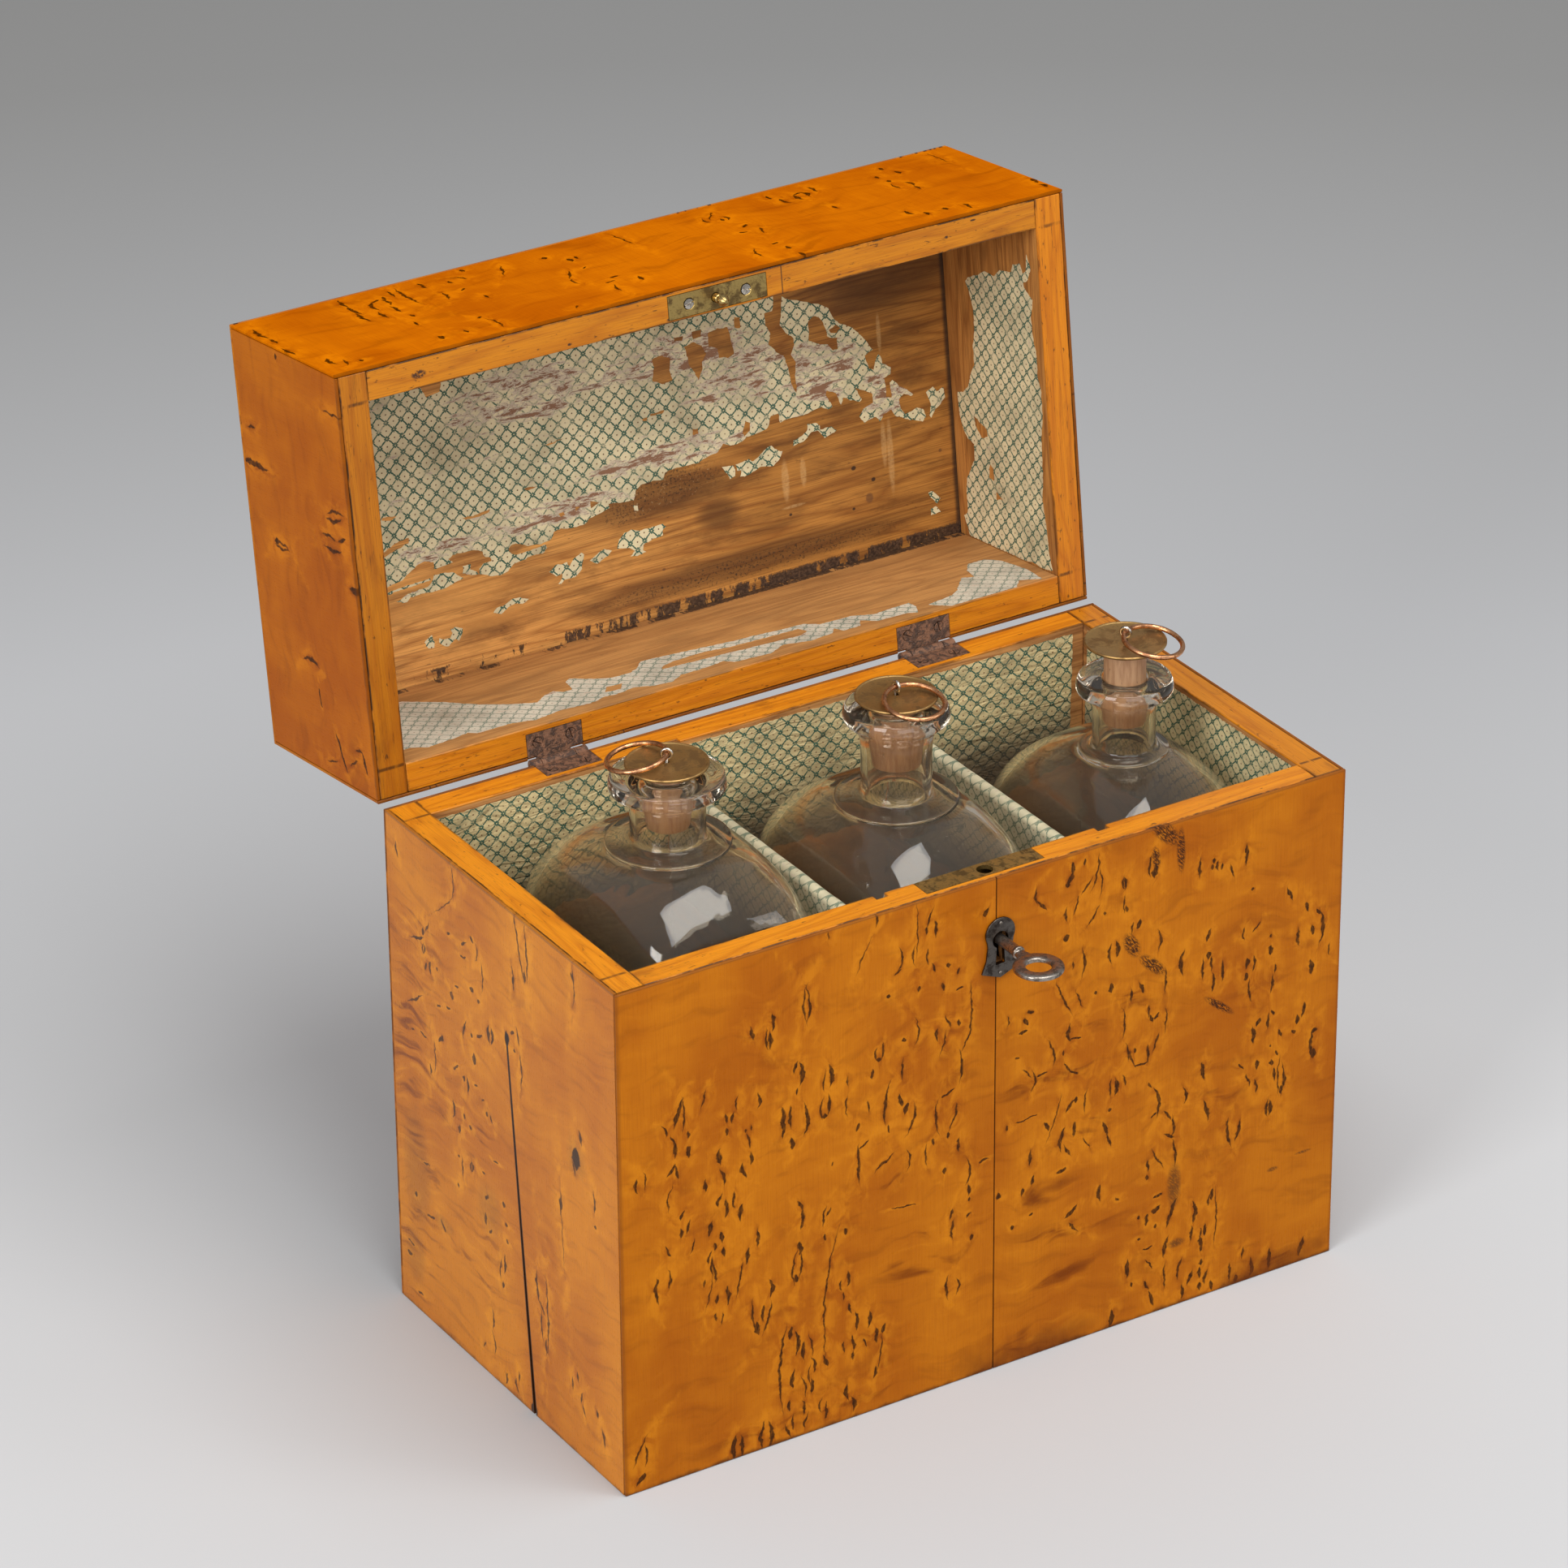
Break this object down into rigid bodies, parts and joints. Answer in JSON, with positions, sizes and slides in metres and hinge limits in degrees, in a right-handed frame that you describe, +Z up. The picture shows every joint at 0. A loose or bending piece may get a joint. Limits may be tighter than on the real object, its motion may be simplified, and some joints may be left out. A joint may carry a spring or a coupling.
{
  "type": "bottle case",
  "caption": "Veneered wooden bottle case with a hinged lid, a box lock with its key, dividers, and lift-out glass bottles with ringed stoppers.",
  "frame": {"origin": "middle of the underside of the case", "axes": "+Z up, -Y towards the front with the keyhole, +X along the front to the right; the lid stands open"},
  "size_m": [0.4, 0.3896, 0.4744],
  "materials": {
    "masur_birch": "aged semi-gloss shellac",
    "pine": "oiled, worn",
    "divider_pine": "paper-covered, worn edges",
    "brass": "dull, brown patina",
    "dark_iron": "burnished dark iron",
    "rusty_iron": "rusty iron",
    "steel": "bright",
    "copper": "polished copper wire",
    "glass": "clear, faint grey-green",
    "stopper_wood": "raw turned wood"
  },
  "bodies": {
    "case": {"case_front_board": "pine", "case_back_board": "pine", "case_left_board": "pine", "case_right_board": "pine", "case_bottom_board": "pine", "case_veneer_front_left": "masur_birch", "case_veneer_front_right": "masur_birch", "case_veneer_left": "masur_birch", "case_veneer_right": "masur_birch", "case_veneer_back": "masur_birch", "divider_left": "divider_pine", "divider_right": "divider_pine", "lock_plate": "brass", "lock_case": "dark_iron", "escutcheon": "dark_iron", "hinge_case_leaf_left": "rusty_iron", "hinge_case_leaf_right": "rusty_iron", "hinge_pin_left": "rusty_iron", "hinge_pin_right": "rusty_iron", "hinge_screw_case_left_a": "rusty_iron", "hinge_screw_case_left_b": "rusty_iron", "hinge_screw_case_right_a": "rusty_iron", "hinge_screw_case_right_b": "rusty_iron"},
    "bolt": {"lock_bolt": "steel"},
    "key": {"key": "dark_iron"},
    "lid": {"lid_front_board": "pine", "lid_back_board": "pine", "lid_left_board": "pine", "lid_right_board": "pine", "lid_top_board": "pine", "lid_veneer_top": "masur_birch", "lid_veneer_front": "masur_birch", "lid_veneer_back": "masur_birch", "lid_veneer_left": "masur_birch", "lid_veneer_right": "masur_birch", "link_plate": "brass", "link_stud": "brass", "link_screw_left": "steel", "link_screw_right": "steel", "hinge_lid_leaf_left": "rusty_iron", "hinge_lid_leaf_right": "rusty_iron", "hinge_screw_lid_left_a": "rusty_iron", "hinge_screw_lid_left_b": "rusty_iron", "hinge_screw_lid_right_a": "rusty_iron", "hinge_screw_lid_right_b": "rusty_iron"},
    "bottle_1": {"bottle_1": "glass"},
    "stopper_1": {"stopper_plug_1": "stopper_wood", "stopper_disc_1": "brass", "stopper_eye_1": "steel"},
    "ring_1": {"stopper_ring_1": "copper"},
    "bottle_2": {"bottle_2": "glass"},
    "stopper_2": {"stopper_plug_2": "stopper_wood", "stopper_disc_2": "brass", "stopper_eye_2": "steel"},
    "ring_2": {"stopper_ring_2": "copper"},
    "bottle_3": {"bottle_3": "glass"},
    "stopper_3": {"stopper_plug_3": "stopper_wood", "stopper_disc_3": "brass", "stopper_eye_3": "steel"},
    "ring_3": {"stopper_ring_3": "copper"}
  },
  "joints": [
    {"name": "lid_hinge", "type": "hinge", "parent": "case", "child": "lid", "pos_m": [0, 0.1077, 0.2632], "axis": [-1, 0, 0], "range_deg": [-97.17, 0]},
    {"name": "key_turn", "type": "hinge", "parent": "case", "child": "key", "pos_m": [0.0045, -0.1055, 0.233], "axis": [0, 1, 0], "range_deg": [-90, 90]},
    {"name": "bolt_slide", "type": "slide", "parent": "case", "child": "bolt", "axis": [1, 0, 0], "range_m": [-0.004, 0.004]},
    {"name": "bottle_1_lift", "type": "slide", "parent": "case", "child": "bottle_1", "axis": [0, 0, 1], "range_m": [0, 0.27]},
    {"name": "stopper_1_lift", "type": "slide", "parent": "bottle_1", "child": "stopper_1", "axis": [0, 0, 1], "range_m": [0, 0.045]},
    {"name": "ring_1_swing", "type": "hinge", "parent": "stopper_1", "child": "ring_1", "pos_m": [-0.10794, 0.00107, 0.31365], "axis": [0.6018, 0.7986, 0], "range_deg": [0, 199.7]},
    {"name": "bottle_2_lift", "type": "slide", "parent": "case", "child": "bottle_2", "axis": [0, 0, 1], "range_m": [0, 0.27]},
    {"name": "stopper_2_lift", "type": "slide", "parent": "bottle_2", "child": "stopper_2", "axis": [0, 0, 1], "range_m": [0, 0.045]},
    {"name": "ring_2_swing", "type": "hinge", "parent": "stopper_2", "child": "ring_2", "pos_m": [0.00974, -0.01049, 0.32075], "axis": [-0.9976, -0.0698, 0], "range_deg": [0, 199.7]},
    {"name": "bottle_3_lift", "type": "slide", "parent": "case", "child": "bottle_3", "axis": [0, 0, 1], "range_m": [0, 0.27]},
    {"name": "stopper_3_lift", "type": "slide", "parent": "bottle_3", "child": "stopper_3", "axis": [0, 0, 1], "range_m": [0, 0.045]},
    {"name": "ring_3_swing", "type": "hinge", "parent": "stopper_3", "child": "ring_3", "pos_m": [0.13437, -0.01687, 0.31775], "axis": [-0.8191, -0.5736, 0], "range_deg": [0, 199.7]}
  ],
  "couplings": [
    {"joint": "key_turn", "follows": "bolt_slide", "rad_per_m": 392.66}
  ]
}
